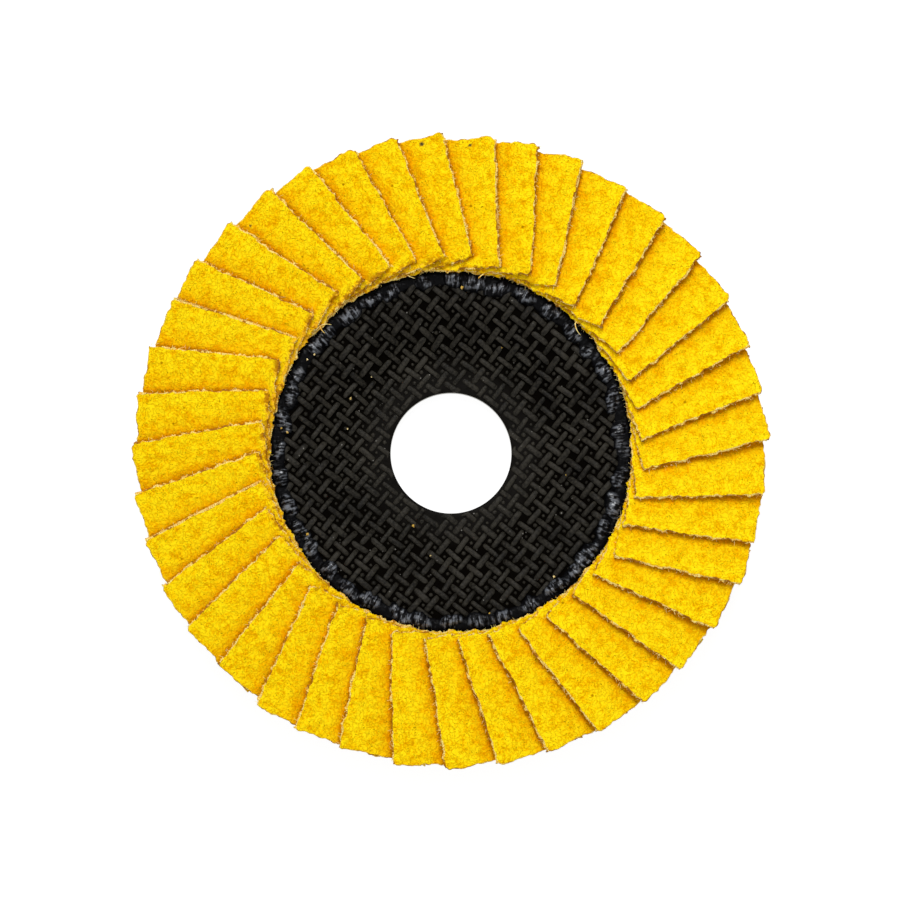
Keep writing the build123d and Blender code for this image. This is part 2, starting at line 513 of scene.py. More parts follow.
# %% The surface of a flap
VISIBLE_FROM = 5.4
COLUMN_STEP, ROW_STEP = 0.30, 0.225
HIDDEN_COLUMNS = 9
CUT_BACK, OUTER_CUT_BACK = 0.26, 0.08
EDGE_WAVES = ((0.13, 9, 0), (0.15, 2.6, 5), (0.18, 0.8, 9))  # depth, length and row of the noise
END_WAVES = ((0.23, 2.4, 20), (0.18, 0.8, 30))
OUTER_CORNER, INNER_CORNER = 0.55, 0.25
# One number for each row of the skirt, from the edge of the coat down to the underside
SKIRT_OUT = np.array([0, 0.04, 0.08, 0.11, 0.07, 0.0])
SKIRT_FRAY = np.array([0, 0.10, 0.40, 1.0, 0.70, 0.0])
SKIRT_HEIGHT = np.array([1.0, 0.97, 0.92, 0.78, 0.22, 0.0])
SKIRT_CLOTH = np.array([0.12, 0.45, 0.90, 1.0, 1.0, 1.0])
SKIRT_SINGED = np.array([0, 0, 0, 0.05, 0.45, -1.0])
DEPTH = len(SKIRT_OUT) - 1


def with_skirt(values):
    """Repeats the first and last value once for each row of the skirt."""
    return np.concatenate([np.repeat(values[:1], DEPTH), values, np.repeat(values[-1:], DEPTH)])


def skirt_steps(count):
    """How deep in the skirt each line of the grid is, and on which side: -1, 0 or 1."""
    depth = np.concatenate([np.arange(DEPTH, 0, -1), np.zeros(count, int), np.arange(1, DEPTH + 1)])
    side = np.concatenate([-np.ones(DEPTH), np.zeros(count), np.ones(DEPTH)])
    return depth, side


def flap_surface(seed):
    """Across, along and height of a flap's points, in millimetres from its underside's trailing edge.

    Across runs from the trailing edge to a leading edge that waves, and along runs between two ends
    that wave and turn in at the corners as a quarter circle does. The skirt steps outwards by a fixed
    profile plus a frayed part, and down from the coat to the underside. Tufts of fray are noise of three
    sizes. The inner end keeps patches of its coat. The top has three sizes of relief, and the leading
    side rises and falls along a slow wave.
    """
    hidden = np.linspace(0, VISIBLE_FROM, HIDDEN_COLUMNS, endpoint=False)
    shown = np.arange(VISIBLE_FROM, FLAP_WIDTH, COLUMN_STEP)
    share = np.append(np.concatenate([hidden, shown]), FLAP_WIDTH) / FLAP_WIDTH
    rows = np.linspace(0, 1, int(FLAP_LENGTH / ROW_STEP))
    column_depth, column_side = skirt_steps(len(share))
    row_depth, row_side = skirt_steps(len(rows))
    p, q = np.meshgrid(with_skirt(share), with_skirt(rows))
    b, a = np.meshgrid(column_depth, row_depth)
    b_side, a_side = np.meshgrid(column_side, row_side)
    v0 = (q - 0.5) * FLAP_LENGTH
    wave = sum(deep * noise(v0, row, long, seed) for deep, long, row in EDGE_WAVES)
    wide = FLAP_WIDTH - CUT_BACK
    u = p * (wide + wave * p)
    radius = np.where(v0 > 0, OUTER_CORNER, INNER_CORNER)
    in_corner = np.clip(u - (wide - radius), 0, radius)
    corner = radius - np.sqrt(radius**2 - in_corner**2 * 0.98)
    ends = sum(deep * noise(u, row + np.sign(v0), long, seed) for deep, long, row in END_WAVES)
    cut = np.where(v0 > 0, OUTER_CUT_BACK, CUT_BACK)
    v = np.sign(v0) * (FLAP_LENGTH / 2 - cut + ends - corner) * np.abs(2 * q - 1)
    depth = np.maximum(a, b)
    tufts = 0.22 * noise(u + v, u - v, 0.36, seed + 1) + 0.20 * noise(v, u, 0.8, seed + 2)
    fray = np.clip(0.19 + tufts + 0.10 * noise(v, u, 2.4, seed + 8), 0.02, 0.6)
    u = u + b_side * (SKIRT_OUT[b] + fray * SKIRT_FRAY[b] * np.where(b_side < 0, 0.2, 1))
    v = v + a_side * (SKIRT_OUT[a] + fray * SKIRT_FRAY[a] * np.where(a_side > 0, 0.35, 1))
    relief = 0.050 * noise(u, v, 1.6, seed + 3) + 0.050 * noise(u, v, 0.8, seed + 4)
    relief = relief - 0.06 * np.clip(1 - np.abs(noise(u, v, 0.9, seed + 5)) * 5, 0, 1)
    height = FLAP_THICKNESS * SKIRT_HEIGHT[depth] + relief * (depth < 2)
    lift = 0.10 * noise(v, 3, 8, seed + 6) * (u / FLAP_WIDTH) ** 3
    singed = 0.40 + 0.6 * noise(v, u, 0.9, seed + 7) + 0.3 * noise(v, u, 3, seed + 9)
    singed = np.clip(singed + SKIRT_SINGED[depth], 0, 1)
    patches = 0.72 + 0.8 * noise(u, v0 > 0, 0.9, seed + 10) * (v0 < 0)
    cloth = SKIRT_CLOTH[depth] * np.where((a > b) & (v0 < 0), np.clip(patches, 0, 1), 1)
    return u, v, height + lift, cloth, singed


def rim_numbers(rows, columns):
    """Numbers of a grid's outermost points, in order round the grid."""
    number = np.arange(rows * columns).reshape(rows, columns)
    sides = (number[0, :-1], number[:-1, -1], number[-1, :0:-1], number[:0:-1, 0])
    return np.concatenate(sides)


# %% Make the flaps
SHADE_REACH = 1.6
WORN_BEARING, WORN_LENGTH = radians(-62), 1.8


def edge_shade_mark(points, index):
    """Painted shade next to the leading edge of the flap that lies over this one: 1 at that edge, and
    less with the distance from it.
    """
    origin, across, along, _ = frames[index - 1]
    past = (points - origin) @ across - FLAP_WIDTH
    level = np.abs((points - origin) @ along)
    within = 1 - smooth_step(level, FLAP_LENGTH / 2 - 0.5, FLAP_LENGTH / 2 + 0.5)
    return within * np.exp(-np.clip(past, 0, None) / SHADE_REACH)


def worn_mark(points, v):
    """How worn the coat is: towards the inner end, and most on the side of the disc at WORN_BEARING."""
    bearing = np.arctan2(points[..., 0], points[..., 1])
    side = 0.5 + 0.5 * np.cos(bearing - WORN_BEARING)
    return side * smooth_step(-v, FLAP_LENGTH / 2 - WORN_LENGTH, FLAP_LENGTH / 2 - 0.2)


def stained_mark(points):
    """1 within a stain, and fading to 0 over the outer half of its radius."""
    away = [np.hypot(points[..., 0] - x, points[..., 1] - y) / radius for x, y, radius in STAINS]
    return 1 - smooth_step(np.min(away, axis=0), 0.6, 1.2)


def smooth_step(value, start, end):
    t = np.clip((value - start) / (end - start), 0, 1)
    return t * t * (3 - 2 * t)


def make_flap(index):
    origin, across, along, out = frames[index]
    u, v, height, cloth, singed = flap_surface(100 * (index + 1))
    points = origin + u[..., None] * across + v[..., None] * along + height[..., None] * out
    # Painted shade: one mark says how near a point is to the edge of the flap that lies over this one.
    marks = {"cloth": cloth, "singed": singed, "beside": edge_shade_mark(points, index)}
    marks.update(stained=stained_mark(points), worn=worn_mark(points, v), across=u, along=v)
    top = grid_quads(*u.shape).tolist()
    underside = [rim_numbers(*u.shape)[::-1].tolist()]
    name = f"flap_{index + 1:02d}"
    return make_piece(f"cloth_{name}", points, top + underside, abrasive, "abrasive", [name], marks, 1)


flaps = [make_flap(index) for index in range(FLAP_COUNT)]
added["flaps"] = sum(triangles(flap) for flap in flaps)
print(FLAP_COUNT, "flaps,", added["flaps"] // FLAP_COUNT, "triangles each")

# %% [markdown]
# ## Frayed fibres
# A cut in cotton frays. Single fibres stick out of the cut edges, and a few whole threads hang over the
# glue. Each is a thin tube along a parabola, so all of them are one calculation on whole arrays.

# %% Fibres
FIBRES_ON_EDGE, FIBRES_ON_END = 24, 20
FIBRE_RADIUS = 0.05
COTTON_CREAM = (1.00, 0.82, 0.30)
COTTON_TAN = (0.90, 0.46, 0.05)
THREAD_RADIUS = 0.13
THREADS = (  # x and y of both ends and how far the middle bows out, in millimetres
    (5.0, 31.5, 9.8, 32.5, -0.5),
    (6.6, 32.4, 10.6, 31.7, -0.2),
    (22.6, 23.3, 23.6, 21.1, 0.3),
    (-24.7, 21.9, -21.8, 23.0, -0.5),
    (-9.0, 33.1, -6.6, 31.5, 0.3),
    (-23.9, 22.9, -22.9, 21.4, 0.3),
    (19.3, 29.6, 21.2, 27.6, -0.4),
)


def tubes(roots, spans, bows, radii, steps, sides):
    """Tubes whose middle line is root + t span + 4t(1 - t) bow. A ring of points turns about the line in
    the plane of two directions square to the span, and its radius shrinks to a third at the far end."""
    t = np.linspace(0, 1, steps)[None, :, None, None]
    turn = (np.arange(sides) * 2 * pi / sides)[None, None, :, None]
    aside = np.cross(spans, (0, 0, 1.0))
    aside /= np.linalg.norm(aside, axis=1, keepdims=True)
    above = np.cross(aside, spans)
    above /= np.linalg.norm(above, axis=1, keepdims=True)
    roots, spans, bows, aside, above = (value[:, None, None] for value in (roots, spans, bows, aside, above))
    middle = roots + t * spans + 4 * t * (1 - t) * bows
    points = middle + radii * (1 - 0.67 * t) * (aside * np.cos(turn) + above * np.sin(turn))
    size = steps * sides
    first = np.arange(len(roots))[:, None, None] * size
    quads = (grid_quads(steps, sides, close_columns=True)[None] + first).reshape(-1, 4)
    ends = np.stack([np.arange(sides)[::-1], np.arange(size - sides, size)])
    caps = (ends[None] + first).reshape(-1, sides)
    return points.reshape(-1, 3), quads.tolist() + caps.tolist()


def fibre_lines(index, random):
    """Roots, spans and bows of one flap's fibres, on its leading edge and on its inner end."""
    origin, across, along, out = frames[index]
    half = FLAP_LENGTH / 2 - 0.2
    count = FIBRES_ON_EDGE + FIBRES_ON_END
    on_edge = np.arange(count) < FIBRES_ON_EDGE
    u = np.where(on_edge, FLAP_WIDTH - 0.05, random.uniform(1.5, FLAP_WIDTH, count))
    v = np.where(on_edge, random.uniform(-half, half, count), -half)
    heading = random.uniform(-1.3, 1.3, count) + np.where(on_edge, 0, -pi / 2)
    length = random.uniform(0.3, 1.0, count) * random.uniform(0.6, 1, count)
    rise = random.uniform(0.15, 0.75, count) * FLAP_THICKNESS
    roots = origin + u[:, None] * across + v[:, None] * along + rise[:, None] * out
    spans = np.cos(heading)[:, None] * across + np.sin(heading)[:, None] * along
    spans = (spans + random.uniform(-0.25, 0.35, count)[:, None] * out) * length[:, None]
    bows = random.normal(0, 0.12, (count, 3)) * length[:, None]
    return roots, spans, bows


def fibre_material():
    material, paint = new_material("cotton_fibres")
    colour = paint.ramp(paint.noise(1.3, detail=1), (0.30, COTTON_TAN), (0.45, COTTON_CREAM))
    paint.finish(Base_Color=colour, Roughness=0.85, Specular_IOR_Level=0.02)
    return material


def make_fibres():
    random = np.random.default_rng(5)
    lines = [fibre_lines(index, random) for index in range(FLAP_COUNT)]
    roots, spans, bows = (np.concatenate(group) for group in zip(*lines))
    return make_piece("frayed_fibres", *tubes(roots, spans, bows, FIBRE_RADIUS, 5, 3), cotton, "abrasive")


def make_threads():
    x1, y1, x2, y2, bow = np.array(THREADS).T
    level = np.full(len(THREADS), RIM_FRONT + 1.7)
    roots = np.stack([x1, y1, level + 0.5], axis=1)
    spans = np.stack([x2 - x1, y2 - y1, -0.3 + 0 * x1], axis=1)
    bows = np.stack([bow * (y2 - y1), bow * (x1 - x2), 0.5 + 0 * x1], axis=1) * 0.35
    return make_piece("loose_threads", *tubes(roots, spans, bows, THREAD_RADIUS, 9, 6), cotton, "abrasive")


cotton = fibre_material()
fibres = make_fibres()
threads = make_threads()
added["fibres"] = triangles(fibres) + triangles(threads)
print("fibres", added["fibres"], "triangles")

# %% [markdown]
# ## The backing plate
# The plate is pressed from glass cloth and black resin, so its dish bends softly and its rim is slightly
# rounded. It is a surface of revolution: one closed outline, turned round the axis. The dish's height
# comes from its slope, which grows smoothly from level to full and fades again, added up outwards.

# %% Resin materials
RESIN_DARK = (0.007, 0.0065, 0.006)
RESIN_GREY = (0.020, 0.018, 0.016)
# Painted shade: the nearly black of the hollows between the proud strands
RESIN_HOLLOW_SHADE = (0.0022, 0.0017, 0.0012)
DUST = (0.20, 0.19, 0.17)


def dust_specks(paint):
    """Pale specks of dust, strewn only where a wide noise is high."""
    return paint.step(paint.cells(1.7), 0.06, 0.10, 1, 0) * paint.step(paint.noise(5.0), 0.50, 0.60) * 0.8


def plate_material():
    """Black resin with dusty patches. In the hollows between the proud strands, by a mark, it is painted
    nearly black and loses its coat: painted shade. Marked as woven, on the back, it shows the weave as low
    relief: the product of two crossed waves."""
    material, paint = new_material("plate_resin")
    dust = paint.noise(0.9, detail=3, roughness=0.65)
    patches = paint.noise(9.0)
    colour = paint.ramp(dust * 0.7 + patches * 0.3, (0.36, RESIN_DARK), (0.66, RESIN_GREY))
    # Painted shade: the hollows between the strands are painted nearly black, and below they lose the coat
    # too.
    colour = paint.mix(paint.mark("hollow"), colour, RESIN_HOLLOW_SHADE)
    colour = paint.mix(dust_specks(paint), colour, DUST)
    relief = paint.bump(paint.noise(0.25, detail=3, roughness=0.6), 0.03)
    turned = paint.node("ShaderNodeMapping", None, {"Vector": paint.place(), "Rotation": (0, 0, -WARP_ANGLE)})
    x = paint.node("ShaderNodeSeparateXYZ", None, {0: turned}, "X") * (pi / (STRAND_PITCH * MM))
    y = paint.node("ShaderNodeSeparateXYZ", None, {0: turned}, "Y") * (pi / (STRAND_PITCH * MM))
    weave = abs(x.maths("SINE", x) * y.maths("SINE", y))
    relief = paint.bump(weave * paint.mark("woven"), 0.18, relief)
    paint.finish(
        Base_Color=colour,
        Roughness=0.6,
        Specular_IOR_Level=0.0,
        Coat_Weight=paint.step(paint.mark("hollow"), 0, 1, 0.25, 0),
        Coat_Roughness=0.5,
        Normal=relief,
    )
    return material


plate_resin = plate_material()
print("made", plate_resin.name)

# %% Backing plate
DISH_START, DISH_END = 17.0, 29.0
DISH_BLEND = 4.0
DISH_RADII = np.linspace(0, 60, 1201)
DISH_SLOPES = smooth_step(DISH_RADII, DISH_START, DISH_START + DISH_BLEND)
DISH_SLOPES *= 1 - smooth_step(DISH_RADII, DISH_END - DISH_BLEND, DISH_END)
DISH_RISES = np.cumsum(DISH_SLOPES) / DISH_SLOPES.sum() * DISH_DEPTH
HOLLOW_REACH = 31.5
RIM_ROUND, BORE_ROUND = 0.5, 0.12
BACK_START = 16.2
PLATE_TURNS = 360


def dish_rise(radius):
    """How far the dish stands above the hub at a radius."""
    return np.interp(radius, DISH_RADII, DISH_RISES)


def turn_outline(radii, heights, count):
    """Points of an outline turned round the axis: a row for each angle, a column for each outline point."""
    angle = np.arange(count)[:, None] * 2 * pi / count
    return np.stack(np.broadcast_arrays(radii * np.sin(angle), radii * np.cos(angle), heights), axis=-1)


def make_plate():
    """The outline goes round the ring's seat, out along the back, over the rim and in along the face."""
    collar = BORE_RADIUS + RING_SHEET
    seat = [(BORE_RADIUS, RING_HEIGHT), (collar, RING_HEIGHT), (collar, RING_SHEET)]
    seat += [(RING_FLANGE_RADIUS, RING_SHEET), (RING_FLANGE_RADIUS, 0)]
    seat_radii, seat_heights = np.array(seat).T
    back = np.linspace(BACK_START, PLATE_RADIUS - RIM_ROUND, 46)
    turn = np.linspace(0, pi / 2, 5)[1:]
    rim_radii = PLATE_RADIUS - RIM_ROUND + RIM_ROUND * np.sin(turn)
    rim_heights = RIM_ROUND - RIM_ROUND * np.cos(turn)
    face = np.linspace(PLATE_RADIUS - RIM_ROUND, BORE_RADIUS + BORE_ROUND, 56)
    face = np.append(face, BORE_RADIUS)
    face_heights = PLATE_THICKNESS + dish_rise(face)
    face_heights[-1] -= BORE_ROUND
    radii = np.concatenate([seat_radii, back, rim_radii, rim_radii[::-1], face])
    rims = [DISH_DEPTH + rim_heights, RIM_FRONT - rim_heights[::-1]]
    heights = np.concatenate([seat_heights, dish_rise(back), *rims, face_heights])
    on_face = np.arange(len(radii)) >= len(radii) - len(face)
    on_back = (np.arange(len(radii)) >= len(seat)) & (np.arange(len(radii)) < len(seat) + len(back))
    points = turn_outline(radii, heights, PLATE_TURNS)
    # Painted shade: the hollows on the face, out to HOLLOW_REACH, are marked to be painted nearly black, a
    # little less near the hub.
    between = on_face * (radii < HOLLOW_REACH) * (0.72 + 0.28 * smooth_step(radii, 13, 19))
    hollow = np.broadcast_to(between, points.shape[:2])
    woven = np.broadcast_to(on_back, points.shape[:2])
    quads = grid_quads(*points.shape[:2], close_rows=True, close_columns=True)[:, ::-1].tolist()
    marks = {"hollow": hollow, "woven": woven}
    return make_piece("dished_plate", points, quads, plate_resin, "plate", ["backing_plate"], marks)


plate = make_plate()
added["plate"] = triangles(plate)
print("plate", added["plate"], "triangles")

# %% [markdown]
# ## The glass weave
# The plate's outer cloth is an open plain weave. Where a strand passes over its neighbour it stands
# proud of the resin, and then it dives: what shows is a lattice of short bars, turned by quarter turns,
# with a dot of resin in most of the holes. Every bar is the same small grid, bent along a cubic curve
# and laid on the dish. They all go into one mesh.

# %% Strand material
STRAND_DARK = (0.0045, 0.0038, 0.0026)
STRAND_GREY = (0.0270, 0.0240, 0.0180)


def strand_material():
    material, paint = new_material("coated_strands")
    dust = paint.noise(0.5, detail=3, roughness=0.7)
    patches = paint.noise(6.0, detail=1)
    colour = paint.ramp(dust * 0.7 + patches * 0.3, (0.40, STRAND_DARK), (0.60, STRAND_GREY))
    colour = paint.mix(dust_specks(paint), colour, DUST)
    relief = paint.bump(paint.noise(0.22, detail=2) + paint.noise(0.6), 0.06)
    paint.finish(Base_Color=colour, Roughness=0.46, Specular_IOR_Level=0.10, Normal=relief)
    return material


strand_resin = strand_material()
print("made", strand_resin.name)

# %% Weave geometry
WEAVE_INNER, WEAVE_OUTER = 11.9, 31.2
BAR_WIDTH = 1.10
BAR_HEIGHT = 0.50
BAR_HALF = 2.0
BAR_DIVE = 0.05
BAR_HALF_THICK = 0.15
BAR_SQUARENESS = 0.85
BAR_STEPS, BAR_SIDES = 13, 8
DOT_RADIUS = 0.41
DOT_RISES = np.radians([-50, -5, 30, 58, 80])
DOT_SIDES = 8


def lattice(offset):
    """Numbers and places of the crossings between the bore and the glue bead."""
    reach = int(WEAVE_OUTER / STRAND_PITCH) + 2
    i, j = np.meshgrid(np.arange(-reach, reach + 1), np.arange(-reach, reach + 1))
    a, b = (i + offset) * STRAND_PITCH, (j + offset) * STRAND_PITCH
    x = a * cos(WARP_ANGLE) - b * sin(WARP_ANGLE)
    y = a * sin(WARP_ANGLE) + b * cos(WARP_ANGLE)
    kept = (np.hypot(x, y) > WEAVE_INNER) & (np.hypot(x, y) < WEAVE_OUTER)
    return i[kept], j[kept], x[kept], y[kept]


def relief_level(radius):
    """How proud the weave stands: pressed flatter by the hub's clamp, and full on the dish."""
    return 0.52 + 0.48 * smooth_step(radius, 13, 20)


def rounded(turn, power):
    """Cosine and sine of a turn, both raised to a power under 1, which squares a circle's shoulders."""
    cosine, sine = np.cos(turn), np.sin(turn)
    return np.sign(cosine) * np.abs(cosine) ** power, np.sign(sine) * np.abs(sine) ** power


def make_weave():
    """Each bar follows its strand for a length 2h about a crossing. Its middle line stands at
    H - (H + D) |s / h|^3 above the face, so its ends dive by D, and its section is a squared oval.
    Near the bore a bar is cut short, so that it stays on the plate."""
    random = np.random.default_rng(7)
    i, j, x, y = lattice(0)
    angle = np.where((i + j) % 2 == 0, WARP_ANGLE, WARP_ANGLE + pi / 2)
    angle = angle + random.normal(0, radians(2.2), angle.shape)
    x = x + random.normal(0, 0.07, x.shape)
    y = y + random.normal(0, 0.07, y.shape)
    crown = BAR_HEIGHT * random.uniform(0.72, 1.2, angle.shape) * relief_level(np.hypot(x, y))
    wide = BAR_WIDTH / 2 * random.uniform(0.85, 1.15, angle.shape)
    s = np.linspace(-1, 1, BAR_STEPS)[None, :, None]
    turn = ((np.arange(BAR_SIDES) + 0.5) * 2 * pi / BAR_SIDES)[None, None, :]
    angle, crown, wide, x, y = (value[:, None, None] for value in (angle, crown, wide, x, y))
    sideways, upwards = rounded(turn, BAR_SQUARENESS)
    taper = np.sqrt(1 - 0.97 * s**6)
    aside = wide * taper * sideways * (1 - 0.16 * (upwards > 0))
    along = s * BAR_HALF
    line_x = x + along * np.cos(angle)
    line_y = y + along * np.sin(angle)
    radius = np.hypot(line_x, line_y)
    inward = np.maximum(BORE_RADIUS + 0.45 - radius, 0) / radius
    line_x, line_y = line_x * (1 + inward), line_y * (1 + inward)
    px = line_x - aside * np.sin(angle)
    py = line_y + aside * np.cos(angle)
    face = PLATE_THICKNESS + dish_rise(np.hypot(line_x, line_y))
    middle = crown - BAR_HALF_THICK - (crown + BAR_DIVE) * np.abs(s) ** 3
    pz = face + middle + BAR_HALF_THICK * upwards * taper
    points = np.stack([px, py, pz], axis=-1)
    size = BAR_STEPS * BAR_SIDES
    first = np.arange(len(i))[:, None, None] * size
    quads = (grid_quads(BAR_STEPS, BAR_SIDES, close_columns=True)[None] + first).reshape(-1, 4)
    ends = np.arange(BAR_SIDES)[None] + np.array([[0], [size - BAR_SIDES]])
    ends[0] = ends[0][::-1]
    return points.reshape(-1, 3), quads.tolist() + (ends[None] + first).reshape(-1, BAR_SIDES).tolist()


def make_dots(first):
    """Domes in the holes: rings of a ball's upper part, each ring a circle that shrinks to a point."""
    random = np.random.default_rng(8)
    _, _, x, y = lattice(0.5)
    kept = (random.uniform(0, 1, len(x)) < 0.82) & (np.hypot(x, y) > BORE_RADIUS + 0.9)
    x = (x + random.normal(0, 0.08, x.shape))[kept][:, None, None]
    y = (y + random.normal(0, 0.08, y.shape))[kept][:, None, None]
    radius = DOT_RADIUS * random.uniform(0.65, 1.2, x.shape)
    rise = DOT_RISES[None, :, None]
    turn = (np.arange(DOT_SIDES) * pi / 4)[None, None, :]
    px = x + radius * np.cos(rise) * np.cos(turn)
    py = y + radius * np.cos(rise) * np.sin(turn)
    tall = 0.9 * radius * relief_level(np.hypot(x, y))
    pz = PLATE_THICKNESS + dish_rise(np.hypot(x, y)) + tall * np.sin(rise) + 0 * turn + 0.02
    size = len(DOT_RISES) * DOT_SIDES
    starts = first + np.arange(len(x))[:, None, None] * size
    quads = grid_quads(len(DOT_RISES), DOT_SIDES, close_columns=True)[None] + starts
    ends = np.stack([np.arange(DOT_SIDES)[::-1], np.arange(size - DOT_SIDES, size)])
    caps = (ends[None] + starts).reshape(-1, DOT_SIDES)
    points = np.stack([px, py, pz], axis=-1)
    return points.reshape(-1, 3), quads.reshape(-1, 4).tolist() + caps.tolist()


bar_points, bar_faces = make_weave()
dot_points, dot_faces = make_dots(len(bar_points))
weave = make_piece(
    "glass_weave",
    np.vstack([bar_points, dot_points]),
    bar_faces + dot_faces,
    strand_resin,
    "strands",
    ["glass_strands"],
)
added["weave"] = triangles(weave)
print("weave", added["weave"], "triangles")

# %% [markdown]
# ## The bore ring
# The ring is pressed from steel sheet: a flange at the back, and a collar that lines the bore and stops
# below the face. It is an outline turned round the axis too. Drawing the collar leaves fine marks round
# the bore, so its grain is noise that changes twelve times as fast along the axis.

# %% Bore ring
STEEL_DARK, STEEL_PALE = (0.20, 0.20, 0.17), (0.42, 0.41, 0.36)
FLANGE_ROUND = 0.1
RING_TURNS = 240


def steel_material():
    material, paint = new_material("pressed_steel")
    stretched = paint.node("ShaderNodeMapping", None, {"Vector": paint.place(), "Scale": (1, 1, 12)})
    grain = paint.noise(0.8, detail=3, place=stretched)
    colour = paint.ramp(grain, (0.3, STEEL_DARK), (0.7, STEEL_PALE))
    paint.finish(
        Base_Color=colour,
        Metallic=1.0,
        Roughness=paint.step(grain, 0.3, 0.7, 0.3, 0.5),
        Normal=paint.bump(grain, 0.02),
    )
    return material


def make_bore_ring():
    """The outline goes up the collar's bore, over its edge, down outside and round the flange."""
    outer = BORE_RADIUS + RING_SHEET
    outline = [(BORE_RADIUS + 0.3, 0), (BORE_RADIUS + 0.08, 0.08), (BORE_RADIUS, 0.3)]
    outline += [(BORE_RADIUS, 1.2), (BORE_RADIUS, RING_HEIGHT), (outer, RING_HEIGHT)]
    outline += [(outer, RING_SHEET + FLANGE_ROUND), (outer + FLANGE_ROUND, RING_SHEET)]
    rim = RING_FLANGE_RADIUS - FLANGE_ROUND
    outline += [(rim, RING_SHEET), (RING_FLANGE_RADIUS, RING_SHEET - FLANGE_ROUND)]
    outline += [(RING_FLANGE_RADIUS, FLANGE_ROUND), (rim, 0)]
    radii, heights = np.array(outline).T
    points = turn_outline(radii, heights, RING_TURNS)
    quads = grid_quads(*points.shape[:2], close_rows=True, close_columns=True).tolist()
    return make_piece("steel_bore_ring", points, quads, steel, "steel", ["bore_ring"])


steel = steel_material()
ring = make_bore_ring()
added["ring"] = triangles(ring)
print("ring", added["ring"], "triangles")

# %% [markdown]
# ## The glue
# Black glue holds the flaps. Pressing the flaps down squeezed some of it out inwards, one lump beside
# each flap, and a skin that shrank as it set covers each lump with fine folds that run outwards. The
# glue is one turned outline whose inner part is lifted: its height is the highest of a low bead and the
# lumps' half ovals, and the folds are noise stretched along the radius.

# %% Glue material
GLUE_BLACK = (0.0025, 0.0025, 0.003)
# Painted highlight: the grey of the streaks on the lumps' crowns
GLUE_HIGHLIGHT = (0.125, 0.135, 0.155)


def glue_material():
    """Black, with a glossy surface whose folds run outwards. A grey painted highlight lies in streaks on
    the lumps' crowns, and the coat's gloss is kept to streaks on the crowns: painted shade between them.
    The streaks use the place on the bead."""
    material, paint = new_material("black_glue")
    lying = paint.join(paint.mark("round_the_bead"), paint.mark("out_from_axis") * 0.26)
    inputs = {"Vector": lying, "Scale": 1.9, "Detail": 2, "Roughness": 0.55}
    streaks = paint.node("ShaderNodeTexNoise", None, inputs)
    lumps = paint.noise(1.0, detail=2)
    crown = paint.mark("crown")
    # Painted highlight: grey streaks on the lumps' crowns. Painted shade: below, the coat's gloss is kept to
    # streaks on the crowns and taken away between them.
    painted_highlight = paint.step(streaks * 0.65 + lumps * 0.35, 0.475, 0.60) * crown
    crown_gloss_mask = paint.step(streaks * 0.5 + lumps * 0.5, 0.42, 0.58) * crown
    paint.finish(
        Base_Color=paint.mix(painted_highlight, GLUE_BLACK, GLUE_HIGHLIGHT),
        Roughness=0.4,
        Specular_IOR_Level=0.02,
        Coat_Weight=crown_gloss_mask * 0.95 + 0.04,
        Coat_Roughness=0.20,
        Normal=paint.bump(streaks + lumps * 0.8, 0.30),
    )
    return material


glue_black = glue_material()
print("made", glue_black.name)

# %% Glue bed and bead
LUMP_CENTRE = 31.2
LUMP_HALF_WIDTH, LUMP_HALF_LENGTH = 1.6, 2.7
GLUE_ANGLES = 1320
LOW_BEAD_RADIUS, LOW_BEAD_HALF_WIDTH, LOW_BEAD_HEIGHT = 31.9, 1.5, 0.55
GLUE_FOOT = -0.05
BED_RADII = np.array([BED_OUTER_RADIUS, BED_OUTER_RADIUS, 42.0, 36.0, 34.0])
BEAD_RADII = np.linspace(33.4, 29.2, 33)
UNDER_RADII = np.array([31.0, 38.0, 46.0])


def lump_height(radius, angle):
    """The highest of 40 half ovals, each with its own place, size and height, in millimetres."""
    random = np.random.default_rng(21)
    best = np.zeros(np.broadcast(radius, angle).shape)
    for index in range(FLAP_COUNT):
        bearing = 2 * pi * index / FLAP_COUNT + random.normal(0, radians(1.3))
        centre = LUMP_CENTRE + random.normal(0, 0.2)
        wide = LUMP_HALF_WIDTH * random.uniform(0.75, 1.1)
        long = LUMP_HALF_LENGTH * random.uniform(0.7, 1.1)
        tall = random.uniform(1.0, 1.8)
        skew = random.normal(0, 0.25)
        turned = (angle - bearing + pi) % (2 * pi) - pi
        along = turned * LUMP_CENTRE
        aside = radius - centre - skew * along
        inside = np.clip(1 - (aside / wide) ** 2 - (along / long) ** 2, 0, 1)
        best = np.maximum(best, tall * inside**0.6)
    return best


